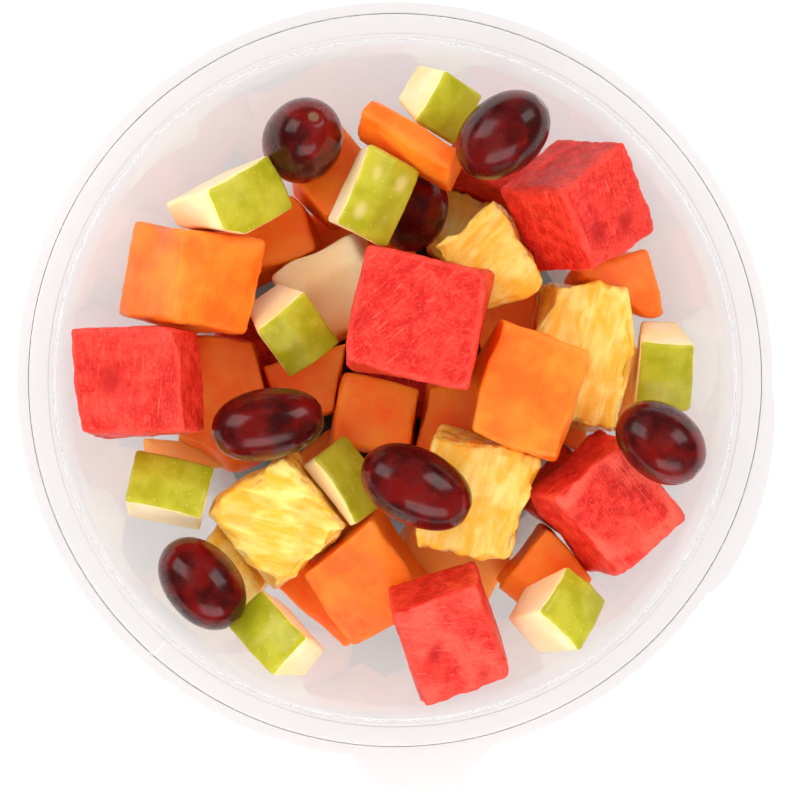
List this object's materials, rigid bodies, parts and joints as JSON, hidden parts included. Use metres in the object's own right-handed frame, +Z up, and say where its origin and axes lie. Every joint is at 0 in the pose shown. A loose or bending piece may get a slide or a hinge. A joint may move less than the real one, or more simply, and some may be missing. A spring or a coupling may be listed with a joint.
{
  "type": "fruit salad in a round tub",
  "caption": "Fruit salad of hand-cut melon, pineapple and green-skinned fruit chunks with red grapes, heaped in a clear round tub with a pull tab.",
  "frame": {"origin": "middle of the tub's flat foot, on the surface it stands on", "axes": "+Z up through the tub's axis, the pull tab towards -Y (4 degrees towards +X), +X to the right with the tab nearest"},
  "size_m": [0.1702, 0.1785, 0.0794],
  "materials": {
    "clear_plastic": "clear, glossy",
    "watermelon_flesh": "moist, satin",
    "cantaloupe_flesh": "moist, satin",
    "honeydew_flesh": "moist, satin",
    "pineapple_flesh": "moist, satin",
    "apple_flesh": "moist, satin",
    "apple_skin": "waxy, glossy",
    "grape_skin": "smooth, glossy"
  },
  "bodies": {
    "root": {"tub": "clear_plastic", "watermelon_1": "watermelon_flesh", "watermelon_2": "watermelon_flesh", "watermelon_3": "watermelon_flesh", "watermelon_4": "watermelon_flesh", "watermelon_5": "watermelon_flesh", "watermelon_6": "watermelon_flesh", "watermelon_7": "watermelon_flesh", "watermelon_8": "watermelon_flesh", "watermelon_9": "watermelon_flesh", "watermelon_10": "watermelon_flesh", "cantaloupe_1": "cantaloupe_flesh", "cantaloupe_2": "cantaloupe_flesh", "cantaloupe_3": "cantaloupe_flesh", "cantaloupe_4": "cantaloupe_flesh", "cantaloupe_5": "cantaloupe_flesh", "cantaloupe_6": "cantaloupe_flesh", "cantaloupe_7": "cantaloupe_flesh", "cantaloupe_8": "cantaloupe_flesh", "cantaloupe_9": "cantaloupe_flesh", "cantaloupe_10": "cantaloupe_flesh", "cantaloupe_11": "cantaloupe_flesh", "cantaloupe_12": "cantaloupe_flesh", "cantaloupe_13": "cantaloupe_flesh", "cantaloupe_14": "cantaloupe_flesh", "cantaloupe_15": "cantaloupe_flesh", "cantaloupe_16": "cantaloupe_flesh", "cantaloupe_17": "cantaloupe_flesh", "honeydew_1": "honeydew_flesh", "honeydew_2": "honeydew_flesh", "honeydew_3": "honeydew_flesh", "honeydew_4": "honeydew_flesh", "honeydew_5": "honeydew_flesh", "honeydew_6": "honeydew_flesh", "honeydew_7": "honeydew_flesh", "pineapple_1": "pineapple_flesh", "pineapple_2": "pineapple_flesh", "pineapple_3": "pineapple_flesh", "pineapple_4": "pineapple_flesh", "pineapple_5": "pineapple_flesh", "pineapple_6": "pineapple_flesh", "pineapple_7": "pineapple_flesh", "apple_1": "apple_flesh", "apple_2": "apple_flesh", "apple_3": "apple_flesh", "apple_4": "apple_flesh", "apple_5": "apple_flesh", "apple_6": "apple_flesh", "apple_7": "apple_flesh", "apple_8": "apple_flesh", "apple_9": "apple_flesh", "grape_1": "grape_skin", "grape_2": "grape_skin", "grape_3": "grape_skin", "grape_4": "grape_skin", "grape_5": "grape_skin", "grape_6": "grape_skin", "grape_7": "grape_skin"}
  },
  "joints": []
}
